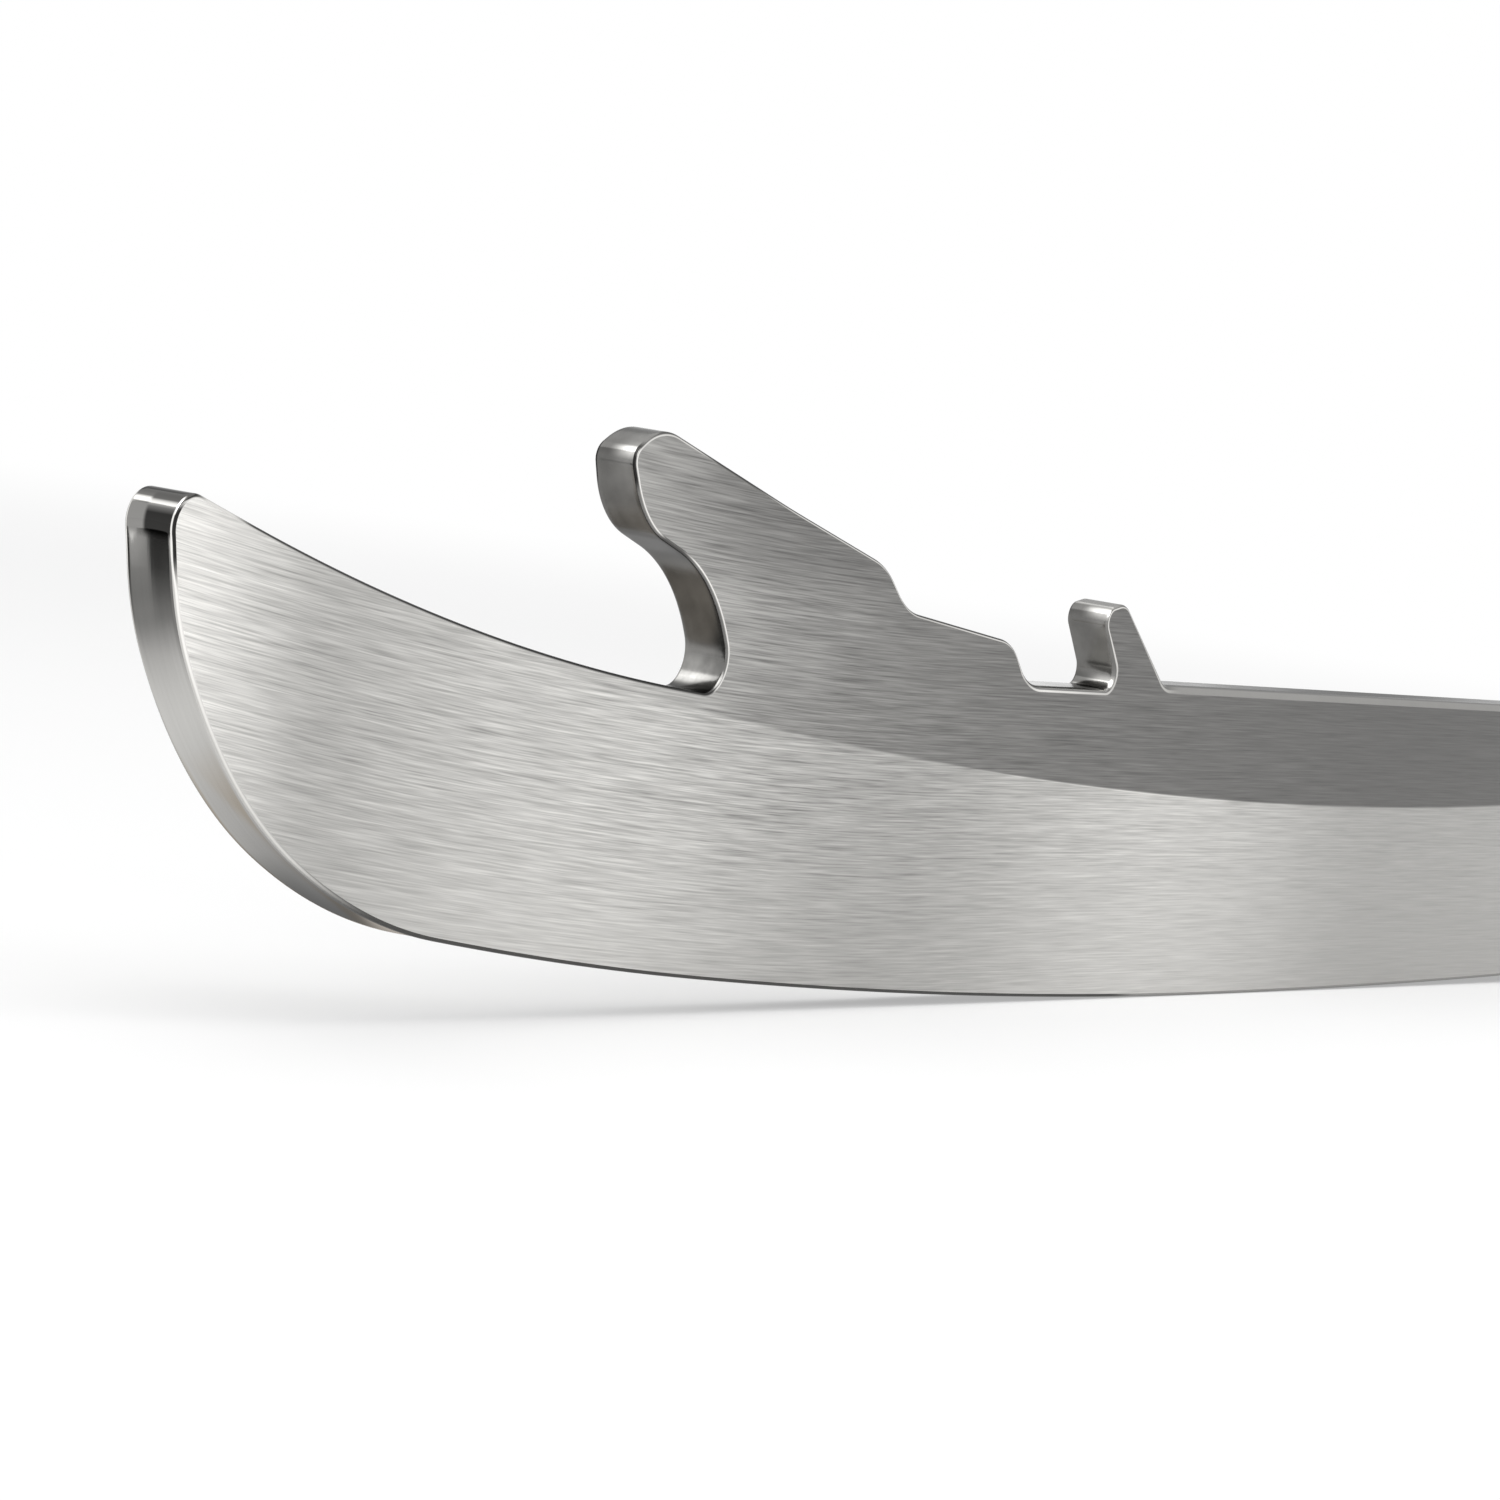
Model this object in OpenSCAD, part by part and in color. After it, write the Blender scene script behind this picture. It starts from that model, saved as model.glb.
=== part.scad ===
// Hockey skate runner: one stamped and ground stainless steel blade of the hook-in kind.
// X runs from the toe to the heel with its 0 at mid length, Y is the thickness, Z is up.
// The lowest point of the rockered running edge is at Z = 0. The hooks point up.
// The outline is one path of tangent arcs and rounded corners, lofted across the thickness.

/* [Overall] */
// Toe tip to heel end
run_length = 254; // [230:2:306]
// Thickness of the running band
blade_t = 3; // [2.8:0.05:3.2]
// Height of the bar's top above the lowest point of the edge
bar_h = 19.65; // [17.5:0.05:22]

/* [Running edge] */
// Rocker radius from the low point back to the heel
rocker_r = 2200; // [1500:50:3300]
// Rocker radius from the low point forward, under the front hook
front_rocker_r = 1000; // [800:10:1400]
// Radius of the hollow ground along the edge, toe to heel
hollow_r = 12.7; // [9.5:0.1:25.4]
// Radius of the broken edge all round the outline
rim_r = 0.22; // [0.1:0.01:0.35]
// Radius of the broken edge along the bar's top, which slides into the holder
bar_rim_r = 0.45; // [0.2:0.01:0.6]

/* [Toe] */
// First toe radius, where the rocker turns up
toe_r1 = 480; // [300:10:600]
// Second toe radius
toe_r2 = 41.6; // [36:0.2:48]
// Third toe radius, up the front face
toe_r3 = 29.7; // [25:0.1:34]
// Fourth toe radius, just below the tip
toe_r4 = 15.4; // [12:0.1:19]
// Steepest slope of the front face, just below the tip
toe_lean = 73.6; // [70:0.1:78]
// Height of the sharp tip that the tip radius rounds off
tip_z = 27.2; // [26:0.05:29]
// Radius of the toe tip
tip_r = 1.6; // [0.8:0.1:2.2]
// Slope of the toe's top edge behind the tip
sweep_slope = 15; // [14:0.1:16]
// Radius of the long sweep from the tip to the throat
sweep_r = 235; // [150:5:240]

/* [Front hook] */
// Distance from the toe tip to the hook's nose
nose_x = 40.15; // [36:0.05:46]
// Top of the hook above the lowest point of the edge
hook_top = 32.1; // [29:0.05:35]
// Distance from the nose back to the sharp corner that the throat's radius rounds
throat_depth = 13.85; // [12:0.05:15]
// Radius in the bottom of the throat
throat_r = 1.8; // [1.2:0.05:1.9]
// Slope of the ramp behind the hook
ramp_slope = 14.5; // [12:0.1:17]
// Where the ramp ends, behind the nose
ramp_length = 28.1; // [24:0.1:32]

/* [Step and tooth] */
// Length of the low shelf behind the ramp
shelf_length = 12.9; // [10:0.1:18]
// Width of the gap between the shelf and the tooth, at its floor
gap_w = 12; // [9:0.1:15]
// Height of the tooth above the bar
tooth_h = 5.15; // [3.5:0.05:7]
// Slope of the tooth's back
tooth_slope = 36.5; // [30:0.5:45]

/* [Rear post] */
// Distance from the post's rear nose to the heel end
post_x = 39.5; // [36:0.5:46]
// Top of the rear post above the lowest point of the edge
post_top = 31.4; // [28:0.05:34]
// Slope of the ramp in front of the post
post_slope = 19; // [15:0.5:24]
// Height of the latch notch under the rear nose
notch_h = 6.6; // [5:0.1:8]
// Depth of the latch notch
notch_d = 8; // [6:0.1:10]

/* [Heel] */
// Height of the heel's top edge
heel_h = 20; // [19:0.1:21.5]
// Radius of the heel's upper corner
heel_top_r = 2.3; // [1.5:0.1:2.6]
// Radius up the heel's end
heel_r = 22; // [20:0.5:23]
// Slope at the top of the heel's end
heel_lean = 62; // [58:0.5:64]

/* [Holder relief] */
// Height of the full-thickness band at mid length
band_h = 12.4; // [10:0.05:14]
// Radius of the crease above the band
crease_r = 820; // [700:10:1200]
// Depth ground off each side above the crease
relief = 0.06; // [0.02:0.01:0.12]
// Height over which the hooks' sides crown in toward their tops
crown_h = 6; // [4:0.1:8]
// Amount that the crown takes off each side at the top of a hook
crown = 0.28; // [0.1:0.02:0.4]

/* [Hidden] */
// Largest distance between a drawn chord and its true arc
tol = 0.005;
// Depth below the bar's top of the throat's floor and of the gap's floor
throat_drop = 1.8;
gap_drop = 0.3;
// Broken edge round the gap's floor
gap_rim_r = 0.3;
// Rise of the shelf above the gap's floor, at its rear
shelf_rise = 2.67;
// Slope of the shelf
shelf_slope = 6;
// Arcs from the low point toward the toe and the heel: [radius, slope where it ends]
toe_arcs = [[front_rocker_r, 3.65], [toe_r1, 6.8], [toe_r2, 26.3], [toe_r3, 55.9], [toe_r4, toe_lean]];
heel_arcs = [[260, 6.5], [45, 22], [heel_r, heel_lean]];
// Distances from each end between which the relief grinding runs out
runout = [22, 60];
// Mid length of the crease, from the toe tip
crease_x = 137;
// Facets of the broken edge and of the hollow
rim_steps = 3;
hollow_steps = 6;

// Points after p along one arc, walking toward dir, from slope a0 to slope a1
function arc_pts(p, dir, r, a0, a1) =
    let (n = ceil((a1 - a0) / (2 * acos(1 - tol / r))))
    [for (i = [1:n])
        let (a = a0 + (a1 - a0) * i / n)
        [p[0] + dir * r * (sin(a) - sin(a0)), p[1] + r * (cos(a0) - cos(a))]];

// Points along a chain of tangent arcs that starts at p with slope a0
function chain(p, dir, a0, arcs, i = 0) =
    i == len(arcs) ? [] :
    let (q = arc_pts(p, dir, arcs[i][0], a0, arcs[i][1]))
    concat(q, chain(q[len(q) - 1], dir, arcs[i][1], arcs, i + 1));

// Length and height that a chain covers
function run(a0, arcs, i = 0) =
    i == len(arcs) ? [0, 0] :
    let (r = arcs[i][0], a1 = arcs[i][1])
    [r * (sin(a1) - sin(a0)), r * (cos(a0) - cos(a1))] + run(a1, arcs, i + 1);

function unit(v) = v / norm(v);
function turn_left(v) = [-v[1], v[0]];
function flat(list) = [for (row = list) for (item = row) item];

// Points that round the corner b, given as [x, z, radius, rim radius]
function round_corner(a, b, c) =
    let (
        p = [b[0], b[1]],
        u = unit([a[0], a[1]] - p),
        v = unit([c[0], c[1]] - p),
        half = acos(max(-1, min(1, u * v))) / 2,
        mid = p + unit(u + v) * b[2] / sin(half),
        from = p + u * b[2] / tan(half) - mid,
        sweep = 180 - 2 * half,
        side = u[0] * v[1] - u[1] * v[0] > 0 ? -1 : 1,
        n = max(1, ceil(sweep / (2 * acos(1 - tol / b[2]))))
    )
    [for (i = [0:n])
        let (s = side * sweep * i / n)
        [mid[0] + from[0] * cos(s) - from[1] * sin(s), mid[1] + from[0] * sin(s) + from[1] * cos(s), b[3]]];

// Toe: the tip's rounding touches x = 0, and the front face meets it at the slope toe_lean
toe_run = run(0, toe_arcs);
tip_x = tip_r * (1 - cos((toe_lean + sweep_slope) / 2) / sin((toe_lean - sweep_slope) / 2));
contact_x = tip_x + (tip_z - toe_run[1]) / tan(toe_lean) + toe_run[0];

// Heel: the rear rocker runs until the heel arcs and the upper corner fit in the length
heel_x = run_length + heel_top_r * (1 / tan(heel_lean / 2) - 1);
function heel_z(slope) = run(0, concat([[rocker_r, slope]], heel_arcs))[1];
function rear_end(slope) =
    asin((heel_x - (heel_h - heel_z(slope)) / tan(heel_lean) - contact_x
        - run(0, heel_arcs)[0]) / (rocker_r - heel_arcs[0][0]));
rear_slope = rear_end(rear_end(2.5));
rear_arcs = concat([[rocker_r, rear_slope]], heel_arcs);

// Corners of the top edge from the toe tip to the heel: [x, z, radius, rim radius]
throat_z = bar_h - throat_drop;
gap_z = bar_h - gap_drop;
ramp_x = nose_x + ramp_length;
crest_z = hook_top + 0.36;
shelf_x = ramp_x + 3.2;
shelf_end = shelf_x + shelf_length;
gap_x = shelf_end + shelf_rise / tan(42);
tooth_x = gap_x + gap_w;
tooth_top = bar_h + tooth_h + 0.1;
rear_nose = run_length - post_x;
post_crest = rear_nose - 5.6;
post_foot = post_crest - (post_top + 0.3 - bar_h) / tan(post_slope);
notch_top = post_top - 5.2;

toe_corners = [
    [tip_x, tip_z, tip_r, rim_r],
    [27, tip_z - (27 - tip_x) * tan(sweep_slope), sweep_r, rim_r],
    [nose_x + throat_depth, throat_z, throat_r, rim_r]
];
hook_corners = [
    [nose_x + 9.85, hook_top - 7.6, 10.5, rim_r],
    [nose_x + 1.6, hook_top - 5.2, 5.7, rim_r],
    [nose_x - 0.25, hook_top - 1.4, 0.95, rim_r],
    [nose_x + 2.2, crest_z, 4.4, rim_r],
    [ramp_x, crest_z - (ramp_length - 2.2) * tan(ramp_slope), 2, rim_r]
];
tooth_corners = [
    [shelf_x, gap_z + shelf_rise + shelf_length * tan(shelf_slope), 3.7, rim_r],
    [shelf_end, gap_z + shelf_rise, 2.2, rim_r],
    [gap_x, gap_z, 2.5, gap_rim_r],
    [tooth_x, gap_z, 0.9, gap_rim_r],
    [tooth_x - 3.7, bar_h + tooth_h - 0.5, 0.95, rim_r],
    [tooth_x - 0.8, tooth_top, 1, rim_r],
    [tooth_x - 0.8 + (tooth_top - bar_h) / tan(tooth_slope), bar_h, 2, bar_rim_r]
];
post_corners = [
    [post_foot, bar_h, 5, bar_rim_r],
    [post_crest, post_top + 0.3, 3.4, rim_r],
    [rear_nose + 0.4, post_top - 1.8, 1.1, rim_r],
    [rear_nose - 1.3, notch_top + 0.5, 0.9, rim_r],
    [rear_nose - notch_d, notch_top - 0.2, 1.6, rim_r],
    [rear_nose - notch_d - 0.7, notch_top - notch_h, 2, rim_r]
];
top_corners = concat(toe_corners, hook_corners, tooth_corners, post_corners, [[heel_x, heel_h, heel_top_r, rim_r]]);

toe_pts = chain([contact_x, 0], -1, 0, toe_arcs);
heel_pts = chain([contact_x, 0], 1, 0, rear_arcs);
toe_end = toe_pts[len(toe_pts) - 1];
heel_end = heel_pts[len(heel_pts) - 1];
nc = len(top_corners);

// The closed outline: [x, z, rim radius, share of the hollow]
outline = concat(
    [for (p = toe_pts) [p[0], p[1], rim_r, 1]],
    flat([for (i = [0:nc - 1])
        let (a = i == 0 ? toe_end : top_corners[i - 1], c = i == nc - 1 ? heel_end : top_corners[i + 1])
        [for (q = round_corner(a, top_corners[i], c)) [q[0], q[1], q[2], 0]]]),
    [for (i = [len(heel_pts) - 1:-1:0]) [heel_pts[i][0], heel_pts[i][1], rim_r, 1]],
    [[contact_x, 0, rim_r, 1]]
);
np = len(outline);

// Unit vector into the steel at outline point i
function inward(i) =
    let (
        a = outline[(i + np - 1) % np],
        b = outline[i],
        c = outline[(i + 1) % np],
        d = unit(unit([b[0] - a[0], b[1] - a[1]]) + unit([c[0] - b[0], c[1] - b[1]]))
    )
    -turn_left(d);
steel_side = [for (i = [0:np - 1]) inward(i)];

// Half section of the edge at one outline point, from the middle out: [distance from the middle, inset]
function half_section(rim, share) =
    let (edge = blade_t / 2 - rim)
    concat(
        [for (k = [0:hollow_steps / 2 - 1])
            let (y = edge * k * 2 / hollow_steps)
            [y, share * (sqrt(hollow_r * hollow_r - y * y) - sqrt(hollow_r * hollow_r - edge * edge))]],
        [for (k = [0:rim_steps])
            let (a = 90 * k / rim_steps)
            [edge + rim * sin(a), rim * (1 - cos(a))]]
    );
nh = hollow_steps / 2 + rim_steps + 1;

// Outline point i moved to ring k; k runs from the near side (0) to the far side (2 * nh - 2)
function ring_pt(i, k) =
    let (
        h = half_section(outline[i][2], outline[i][3])[abs(k - nh + 1)],
        n = steel_side[i]
    )
    [outline[i][0] + n[0] * h[1], sign(k - nh + 1) * h[0], outline[i][1] + n[1] * h[1]];

// Loft of the outline across the thickness, with the broken edges and the hollow
module blank() {
    rings = 2 * nh - 1;
    points = [for (k = [0:rings - 1]) for (i = [0:np - 1]) ring_pt(i, k)];
    walls = [for (k = [0:rings - 2]) for (i = [0:np - 1])
        let (j = (i + 1) % np)
        each [
            [k * np + i, (k + 1) * np + i, k * np + j],
            [k * np + j, (k + 1) * np + i, (k + 1) * np + j]
        ]];
    near_side = [[for (i = [0:np - 1]) i]];
    far_side = [[for (i = [np - 1:-1:0]) (rings - 1) * np + i]];
    polyhedron(points, concat(walls, near_side, far_side), convexity = 8);
}

// What the relief grinding takes off the +Y side: it starts at the crease and runs out toward both ends
module relief_cut() {
    plan = [
        [runout[0], blade_t / 2],
        [runout[1], blade_t / 2 - relief],
        [run_length - runout[1], blade_t / 2 - relief],
        [run_length - runout[0], blade_t / 2],
        [run_length - runout[0], blade_t],
        [runout[0], blade_t]
    ];
    intersection() {
        linear_extrude(hook_top + 5)
            polygon(plan);
        translate([crease_x, blade_t / 2 - relief, crease_r + band_h])
            rotate([-90, 0, 0])
                cylinder(h = blade_t, r1 = crease_r - 0.15, r2 = crease_r + 7, $fn = 1440);
    }
}

// What the crown takes off the +Y side of a hook whose top is at top_z, between x0 and x1
module crown_cut(x0, x1, top_z) {
    crown_r = crown_h * crown_h / (2 * crown);
    bulge = 0.012;
    translate([x0, 0, top_z - crown_h])
        rotate([90, 0, 90])
            linear_extrude(x1 - x0)
                difference() {
                    translate([blade_t / 2 - relief - crown - 0.1, 0])
                        square([2, crown_h + 3]);
                    translate([blade_t / 2 - relief + bulge - crown_r, 0])
                        circle(r = crown_r, $fn = 360);
                }
}

module both_sides() {
    children();
    mirror([0, 1, 0])
        children();
}

module runner() {
    color([0.74, 0.74, 0.73])
        translate([-run_length / 2, 0, 0])
            resize([run_length, blade_t, 0])
                difference() {
                    blank();
                    both_sides()
                        relief_cut();
                    both_sides()
                        crown_cut(nose_x - 3, ramp_x, hook_top);
                    both_sides()
                        crown_cut(post_foot, rear_nose + 3, post_top);
                }
}

runner();
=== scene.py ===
# %% [markdown]
# # A hockey skate runner in brushed stainless steel
#
# The runner is the steel blade under an ice skate. It is one piece: a strip 3 mm thick whose outline
# carries a rockered running edge, an upswept toe, a forward hook, a small locating tooth and a rear
# post. The CAD model gives its size and place. Here it gets finer curves and a ground, brushed finish.

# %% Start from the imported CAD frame
import math

import bmesh
import bpy
from mathutils import Matrix, Vector
from mathutils.geometry import delaunay_2d_cdt


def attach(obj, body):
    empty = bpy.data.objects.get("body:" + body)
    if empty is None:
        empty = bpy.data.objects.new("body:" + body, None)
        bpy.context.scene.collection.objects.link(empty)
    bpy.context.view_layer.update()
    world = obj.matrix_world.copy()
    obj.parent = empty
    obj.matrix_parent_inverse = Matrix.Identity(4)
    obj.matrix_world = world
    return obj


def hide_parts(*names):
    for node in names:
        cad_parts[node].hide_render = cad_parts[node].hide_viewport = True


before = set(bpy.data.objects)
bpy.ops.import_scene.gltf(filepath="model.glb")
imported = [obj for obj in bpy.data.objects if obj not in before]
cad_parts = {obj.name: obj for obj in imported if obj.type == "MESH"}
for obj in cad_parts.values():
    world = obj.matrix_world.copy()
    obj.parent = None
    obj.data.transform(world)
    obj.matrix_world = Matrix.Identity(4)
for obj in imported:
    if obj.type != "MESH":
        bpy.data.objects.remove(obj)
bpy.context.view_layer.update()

# %% [markdown]
# ## Camera
#
# The photograph was taken close in front of the toe, looking back along the near side. A long lens
# (144 mm on a 36 mm sensor) and a slight roll match its perspective. The three directions below are the
# picture's right, its up, and the way the lens looks, in the runner's own frame. Lengths in this file
# are written in millimetres, as a maker writes them, and mm() makes them metres.

# %% Set up the camera
MM = 0.001
LENGTH = 254.0
MID = LENGTH / 2


def mm(x, y, z):
    """A point measured from the toe tip, in millimetres, as a place in the frame, in metres."""
    return Vector(((x - MID) * MM, y * MM, z * MM))


camera_data = bpy.data.cameras.new("camera")
camera_data.sensor_width = 36.0
camera_data.lens = 144.0
camera_data.clip_start = 0.01
camera_data.clip_end = 20.0
camera = bpy.data.objects.new("camera", camera_data)
bpy.context.scene.collection.objects.link(camera)
picture_right = Vector((0.515713, -0.843931, 0.147720))
picture_up = Vector((-0.016834, 0.162402, 0.986581))
looks_along = Vector((0.856596, 0.511279, -0.069546))
stands_at = mm(-230.601, -172.624, 38.290)
turn = Matrix((picture_right, picture_up, -looks_along)).transposed()
camera.matrix_world = Matrix.Translation(stands_at) @ turn.to_4x4()
bpy.context.scene.camera = camera
print("camera stands at", [round(v, 4) for v in camera.matrix_world.translation])

# %% [markdown]
# ## The outline
#
# A toolmaker draws such a profile as arcs that meet smoothly and corners that are rounded. The bottom is
# a chain of arcs that starts at the lowest point and walks toward the toe or the heel, each arc given by
# its radius and the slope where it ends. The top is a list of sharp corners with a radius each. Drawing
# from radii, not from a cloud of points, keeps every curve as smooth as the die that stamped it.

# %% Arc chains and rounded corners
STEP_ERROR = 0.0012      # how far a straight step may stand off its arc


def steps_for(radius, degrees):
    widest_step = 2 * math.degrees(math.acos(1 - STEP_ERROR / radius))
    return max(1, math.ceil(degrees / widest_step))


def arc_chain(start, way, arcs):
    """Points along tangent arcs from a level start. way is -1 toward the toe and 1 toward the heel."""
    points = []
    (x, z), slope = start, 0.0
    for radius, slope_end in arcs:
        count = steps_for(radius, slope_end - slope)
        a = math.radians(slope)
        for i in range(1, count + 1):
            b = math.radians(slope + (slope_end - slope) * i / count)
            along = way * radius * (math.sin(b) - math.sin(a))
            points.append((x + along, z + radius * (math.cos(a) - math.cos(b))))
        x, z = points[-1]
        slope = slope_end
    return points


def rounded_corner(before, corner, after):
    """Points of the arc that rounds a corner given as (x, z, radius, ...)."""
    p = Vector(corner[:2])
    u = (Vector(before[:2]) - p).normalized()
    v = (Vector(after[:2]) - p).normalized()
    radius = corner[2]
    half = u.angle(v) / 2
    middle = p + (u + v).normalized() * radius / math.sin(half)
    spoke = p + u * radius / math.tan(half) - middle
    sweep = math.pi - 2 * half
    side = -1 if u.x * v.y - u.y * v.x > 0 else 1
    count = steps_for(radius, math.degrees(sweep))
    turns = [side * sweep * i / count for i in range(count + 1)]
    return [tuple(middle + Matrix.Rotation(angle, 2) @ spoke) for angle in turns]


print("a square corner of 1 mm radius takes", steps_for(1.0, 90.0), "steps")

# %% The bottom: rocker, toe and heel
LOW_X = 117.4824
# Radius of each arc, and the slope in degrees where it ends
TOE_ARCS = [(1000, 3.65), (480, 6.8), (41.6, 26.3), (29.7, 55.9), (15.4, 73.6)]
HEEL_ARCS = [(2200, 2.4765), (260, 6.5), (45, 22), (22, 62)]
toe_side = arc_chain((LOW_X, 0.0), -1, TOE_ARCS)
heel_side = arc_chain((LOW_X, 0.0), 1, HEEL_ARCS)
print("running edge points:", len(toe_side) + len(heel_side))

# %% [markdown]
# ### The top
#
# These are the CAD model's corners. A few follow the photograph more closely, by up to a third of a
# millimetre: the ramp and the tooth are rounder, the throat's rear flank stands a little further
# forward, and the gap's floor and the bar's top are higher. Each corner also carries its rim, which is
# how far the edge is broken there.

# %% The top: corners from the toe tip to the heel
RIM = 0.22           # the broken edge round most of the outline
GAP_RIM = 0.38       # wider round the gap's floor
BAR_RIM = 0.5        # and widest on the bar, which slides into the holder
HOLLOW_FADE = 2.5    # the hollow is gone after 1 / 2.5 of the toe tip's arc
TOP_CORNERS = [      # x, z, radius, rim
    (-0.74, 27.2, 1.6, RIM), (27, 19.767, 235, RIM), (53.85, 17.85, 1.8, RIM),           # toe, throat
    (49.85, 24.5, 10.5, RIM), (41.75, 26.9, 5.7, RIM), (39.9, 30.7, 0.95, RIM),          # hook
    (42.6, 32.42, 4.4, RIM), (57, 28.65, 120, RIM), (68.5, 25.92, 6.5, RIM),             # ramp
    (71.6, 23.4, 5.0, RIM), (84.65, 22.03, 4.0, RIM),                                    # step
    (87.7, 19.48, 3.8, GAP_RIM), (99.315, 19.48, 0.9, GAP_RIM),                          # gap
    (95.615, 24.3, 0.95, RIM), (98.515, 24.9, 1.7, RIM),                                 # tooth
    (105.5, 19.95, 2, BAR_RIM), (174.1, 19.95, 5, BAR_RIM),                              # bar
    (208.9, 31.7, 3.4, RIM), (214.9, 29.6, 1.1, RIM),                                    # rear post
    (213.2, 26.7, 0.9, RIM), (206.5, 26, 1.6, RIM), (205.8, 19.6, 2, RIM),               # latch notch
    (255.528, 20, 2.3, RIM),                                                             # heel
]
outline = [(x, z, RIM, 1.0) for x, z in toe_side]        # x, z, rim, share of the hollow
for place, corner in enumerate(TOP_CORNERS):
    before = toe_side[-1] if place == 0 else TOP_CORNERS[place - 1]
    after = heel_side[-1] if corner is TOP_CORNERS[-1] else TOP_CORNERS[place + 1]
    arc = rounded_corner(before, corner, after)
    for step, (x, z) in enumerate(arc):
        hollow = max(0.0, 1 - HOLLOW_FADE * step / len(arc)) if place == 0 else 0.0
        outline.append((x, z, corner[3], hollow))
outline += [(x, z, RIM, 1.0) for x, z in reversed(heel_side)]
outline.append((LOW_X, 0.0, RIM, 1.0))
print("outline:", len(outline), "points, x", min(p[0] for p in outline), "to", max(p[0] for p in outline))

# %% [markdown]
# ## Thickness
#
# The running band keeps the full 3 mm. Above a long curved crease, both sides are ground back a few
# hundredths of a millimetre so that the blade slides into its holder, and this relief runs out toward
# the toe and the heel. The tops of the two hooks crown in a little more. One function gives the half
# thickness at any place on the side, so every piece of the mesh agrees.

# %% Half thickness of the blade at a place on its side
HALF = 1.5
CREASE_X, CREASE_RADIUS, BAND = 137.0, 820.0, 12.4      # its lowest point, its curve, its height there
LEDGE = 0.15                                            # how wide the step down at the crease is
RELIEF = 0.06                                           # and how deep, on each side
RUNOUT = (22.0, 60.0)                                   # from an end: no relief yet, full relief
CROWN, CROWN_HEIGHT = 0.28, 6.0
CROWNED = [(37.0, 69.0, 32.1), (173.0, 218.0, 31.4)]    # from x, to x, top


def smooth(value, low, high):
    t = min(1.0, max(0.0, (value - low) / (high - low)))
    return t * t * (3 - 2 * t)


def crease_height(x, radius=CREASE_RADIUS):
    return BAND + CREASE_RADIUS - math.sqrt(radius * radius - (x - CREASE_X) ** 2)


def ground_back(x, z):
    """0 on the running band, 1 above the ledge, and less where the grinding runs out."""
    end = min(x, LENGTH - x)
    above = (z - crease_height(x)) / LEDGE
    return min(1.0, max(0.0, above)) * smooth(end, *RUNOUT)


def half_thickness(x, z):
    half = HALF - RELIEF * ground_back(x, z)
    for x0, x1, top in CROWNED:
        if x0 < x < x1 and z > top - CROWN_HEIGHT:
            half -= CROWN * ((z - top + CROWN_HEIGHT) / CROWN_HEIGHT) ** 2
    return half


print("half thickness, band:", half_thickness(140, 5), "bar:", half_thickness(140, 16))
print("half thickness, hook top:", half_thickness(43, 32))

# %% [markdown]
# ## The side plate
#
# Each side of the blade is nearly flat, so it is one triangulated sheet: its border is the outline moved
# in by the broken edge, two lines follow the crease's ledge, and a loose field of points carries the
# slight curves of the relief and the crown. A constrained Delaunay triangulation joins them, because it
# keeps every line it is given and makes no thin slivers between them.

# %% The plate's border, moved in by the rim
count = len(outline)
border, inward = [], []
for i, (x, z, rim, _) in enumerate(outline):
    here = Vector((x, z))
    to_here = (here - Vector(outline[i - 1][:2])).normalized()
    from_here = (Vector(outline[(i + 1) % count][:2]) - here).normalized()
    along = (to_here + from_here).normalized()
    inward.append(Vector((along.y, -along.x)))
    border.append(here + inward[-1] * rim)
print("border points:", len(border))

# %% Ledge lines and inner points
LEDGE_FROM, LEDGE_STEPS = 24.0, 130       # from either end
FIRST_ROW, TOP_ROW = 0.7, 32.0            # heights between which the rows lie
FIRST_POINT = 0.5
ROW_GAP, POINT_GAP = 1.2, 1.6
CLEAR_OF_CREASE = 0.5                     # an inner point stays this far from the crease,
CLEAR_OF_BORDER = 0.3                     # and its squared distance to the border is at least this


def inside(point):
    """Even-odd test against the plate's border."""
    hit = False
    for a, b in zip(border, border[1:] + border[:1]):
        if (a.y > point.y) != (b.y > point.y):
            crossing = (b.x - a.x) * (point.y - a.y) / (b.y - a.y) + a.x
            if point.x < crossing:
                hit = not hit
    return hit


def is_free(point):
    if abs(point.y - crease_height(point.x)) <= CLEAR_OF_CREASE or not inside(point):
        return False
    return min((point - q).length_squared for q in border) > CLEAR_OF_BORDER


ledge_xs = [LEDGE_FROM + (LENGTH - 2 * LEDGE_FROM) * i / LEDGE_STEPS for i in range(LEDGE_STEPS + 1)]
ledge_lines = []
for radius in (CREASE_RADIUS, CREASE_RADIUS - LEDGE):
    ledge_lines.append([Vector((x, crease_height(x, radius))) for x in ledge_xs])

field, row = [], 0
z = FIRST_ROW
while z < TOP_ROW:
    x = FIRST_POINT + POINT_GAP / 2 * (row % 2)
    while x < LENGTH:
        p = Vector((x, z))
        if is_free(p):
            field.append(p)
        x += POINT_GAP
    z += ROW_GAP
    row += 1
print("inner points:", len(field), "ledge points:", 2 * len(ledge_xs))

# %% Triangulate the plate
ONE_POINT = 1e-7      # points closer than this count as one
ring = [(i, (i + 1) % count) for i in range(count)]
ledge_edges = []
for k, line in enumerate(ledge_lines):
    first = count + k * len(line)
    ledge_edges += [(first + i, first + i + 1) for i in range(len(line) - 1)]
fixed = border + ledge_lines[0] + ledge_lines[1]
points, _, faces, from_point, _, from_face = delaunay_2d_cdt(
    fixed + field, ring + ledge_edges, [list(reversed(range(count)))], 0, ONE_POINT)
faces = [face for face, source in zip(faces, from_face) if source]
place_of = {}
for out, sources in enumerate(from_point):
    for source in sources:
        place_of.setdefault(source, out)

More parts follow.
